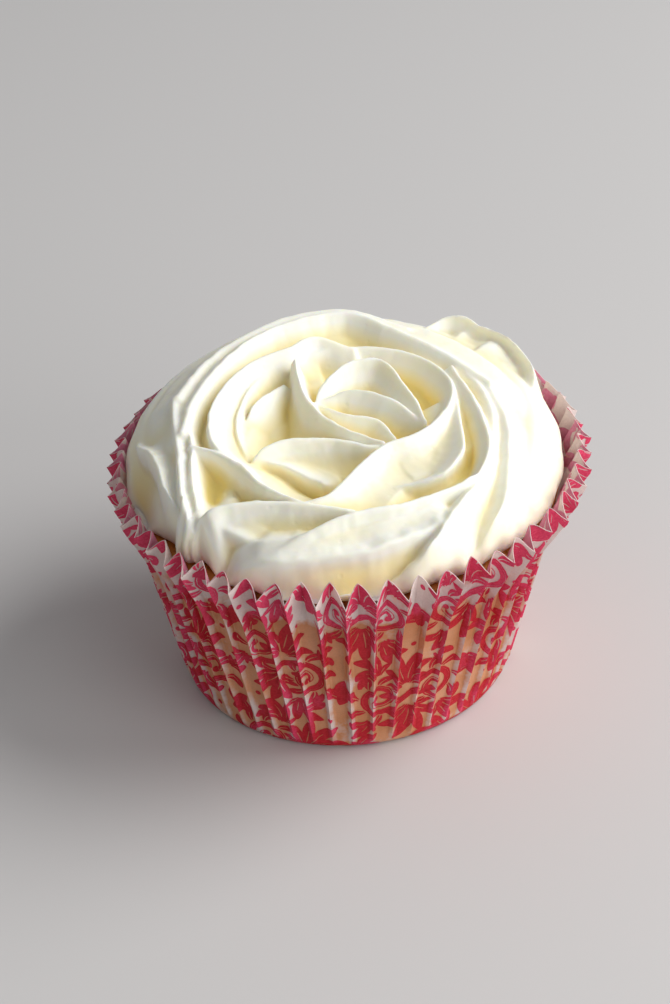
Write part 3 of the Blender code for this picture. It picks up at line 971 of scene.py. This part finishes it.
def soften(chart, passes, reach=1):
    """Average each height with its neighbours, reach steps away."""
    for _ in range(passes):
        chart = (np.roll(chart, reach, 0) + 2 * chart + np.roll(chart, -reach, 0)) / 4
        chart = (np.roll(chart, reach, 1) + 2 * chart + np.roll(chart, -reach, 1)) / 4
    return chart


def make_chart():
    """Heights of the icing on a square net."""
    x, y = np.meshgrid(chart_axis, chart_axis, indexing="ij")
    heights = icing_height(x.ravel(), y.ravel()).reshape(x.shape)
    heights += 0.035 * wobble(x, y, 2.2, 5) + 0.02 * wobble(x, y, 0.8, 6)
    return soften(heights, 2)


chart = make_chart()
surroundings = soften(chart, 40, reach=3)


def chart_at(x, y, chart=chart):
    """Height at any point, between the four nearest heights of the chart."""
    u, v = (x - chart_axis[0]) / CHART_STEP, (y - chart_axis[0]) / CHART_STEP
    i = np.clip(u.astype(int), 0, len(chart_axis) - 2)
    j = np.clip(v.astype(int), 0, len(chart_axis) - 2)
    a, b = u - i, v - j
    return ((chart[i, j] * (1 - a) + chart[i + 1, j] * a) * (1 - b)
            + (chart[i, j + 1] * (1 - a) + chart[i + 1, j + 1] * a) * b)


print("icing from", round(float(chart.min()), 1), "to", round(float(chart.max()), 1), "mm high")

# %% [markdown]
# ## Icing finish
# Buttercream is nearly white where light strikes it, but light that has bounced about in a
# crease comes out a warm yellow.  A little scattering under the skin does part of that.  The
# rest is painted shade: a number on the mesh, "hollow", says how far a point lies below its
# surroundings, and by it the bottoms of the creases are painted a warm yellow.  The skin is
# satin, with fine grain and a few pits where air bubbles broke.

# %% Icing finish
icing = Finish("ivory buttercream", (0.93, 0.91, 0.79), 0.5)
pits = icing.node("TexVoronoi", {"Vector": icing.place, "Scale": 1 / (2.6 * MM)},
                  feature="F1").outputs["Distance"]
pits = icing.ramp(pits, 0.05, 0.16)
grain = icing.bump(icing.noise(0.5, 3), 0.03, 0.35)
icing.join(icing.bump(pits, 0.06, 0.5, grain), "Normal")
tone = icing.ramp(icing.noise(9, 3), 0.3, 0.7)
skin = icing.mix(tone, (0.93, 0.92, 0.83, 1), (0.915, 0.90, 0.78, 1))
# painted shade: the deeper a point lies below its surroundings, the warmer yellow it is painted
painted_crease_shade = icing.ramp(icing.attribute("hollow"), -0.4, 1.5)
icing.join(icing.mix(painted_crease_shade, skin, (0.94, 0.76, 0.29, 1)), "Base Color")
icing.join(icing.ramp(icing.noise(1.6, 3), 0.3, 0.7, 0.46, 0.60), "Roughness")
icing.shader.inputs["Specular IOR Level"].default_value = 0.35
icing.shader.inputs["Subsurface Weight"].default_value = 0.6
icing.shader.inputs["Subsurface Radius"].default_value = (1.0, 0.84, 0.46)
icing.shader.inputs["Subsurface Scale"].default_value = 1.1 * MM

# %% Model the icing
ICING_AROUND, ICING_ROWS = 620, 146                 # columns round it, rows across the top
ICING_X = -0.5                                      # middle of the icing, from the rose's
# its edge by angle; the ribs of the tail make the tongue near 225 degrees
ICING_RADIUS = [(0, 31.1), (45, 31.3), (90, 31.4), (135, 30.6), (165, 30.0), (190, 30.1),
                (205, 29.8), (216, 29.4), (221.8, 29.3), (223, 30.4), (224, 30.8),
                (225.2, 30.2), (226.5, 30.8), (227.6, 30.2), (228.6, 30.4), (229.8, 29.5),
                (233, 29.9), (236, 30.5), (244, 31.7), (262, 32.1), (284, 32.1),
                (300, 31.8), (320, 31.5), (345, 31.2), (360, 31.1)]
# how far in from the edge, by angle, the painted warm shade of the hollows begins
PAINTED_SHADE_FADE = [(0, 2.8), (170, 2.0), (185, 0.9), (222, 0.9), (240, 1.3), (252, 2.6), (360, 2.8)]
ROSE_X = 0.8                                        # the rose sits a little to the right
ICING_FOOT = 31.9                                   # height of its lower edge
RIPPLE, RIPPLES = 0.12, 23                          # small waves of the edge
LIP_LEAN = 0.45                                     # how far a lip leans out for its height
UNDER_RING, UNDER_UP = 15, 1.0                      # ring of the underside, and its hollow
# the side, from the top down: how far it swells out, and share of its height
SIDE = [(0.28, 0.80), (0.40, 0.60), (0.40, 0.40), (0.25, 0.20), (-0.3, 0.04), (-1.6, 0.0)]


def ring_radius(angle):
    """The icing nearly touches the paper, but stops short of it on the left."""
    return stations(ICING_RADIUS, np.degrees(angle) % 360) + RIPPLE * np.sin(RIPPLES * angle)


def icing_mesh():
    """A flat grid wound round the middle: underside, rounded side, then the rose."""
    rows = 2 + len(SIDE) + ICING_ROWS
    bm = bmesh.new()
    bmesh.ops.create_grid(bm, x_segments=ICING_AROUND, y_segments=rows - 1, size=0.5)
    turn = np.array([v.co.x + 0.5 for v in bm.verts]) * TURN
    row = np.round(np.array([v.co.y + 0.5 for v in bm.verts]) * (rows - 1)).astype(int)
    edge_r = ring_radius(turn)
    edge_z = chart_at(ICING_X + edge_r * np.cos(turn), edge_r * np.sin(turn))
    share = np.clip((row - 2 - len(SIDE) + 1) / ICING_ROWS, 0, 1)       # 0 edge, 1 middle
    r = edge_r * (1 - share)
    z = chart_at(ICING_X + r * np.cos(turn), r * np.sin(turn))
    for i, (swell, up) in enumerate(reversed(SIDE)):
        on = row == 2 + i
        r = np.where(on, edge_r + swell, r)
        z = np.where(on, ICING_FOOT + (edge_z - ICING_FOOT) * up, z)
    r = np.where(row == 1, UNDER_RING, np.where(row == 0, 0, r))
    z = np.where(row < 2, ICING_FOOT + UNDER_UP, z)
    x, y = ICING_X + r * np.cos(turn), r * np.sin(turn)
    on_top = row >= 2 + len(SIDE)
    proud = np.where(on_top, z - chart_at(x, y, surroundings), 0)
    lean = LIP_LEAN * np.clip(proud, -0.6, 1.5) * ease((edge_r - r) / 2) * ease(r / 3)
    place(bm, np.stack([ROSE_X + x + lean * np.cos(turn), y + lean * np.sin(turn), z], 1))
    # the painted shade of the creases: how far a point lies below its surroundings, faded out near
    # the edge
    hollow = bm.verts.layers.float.new("hollow")
    fade = stations(PAINTED_SHADE_FADE, np.degrees(turn))
    for vert, value in zip(bm.verts, -proud * ease((edge_r - r) / fade)):
        vert[hollow] = value
    bmesh.ops.remove_doubles(bm, verts=bm.verts, dist=1e-5)
    bmesh.ops.recalc_face_normals(bm, faces=bm.faces)
    return bm


rose = piece("rose", icing_mesh(), icing, "buttercream")
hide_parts("buttercream")
print("rose:", len(rose.data.vertices), "vertices")
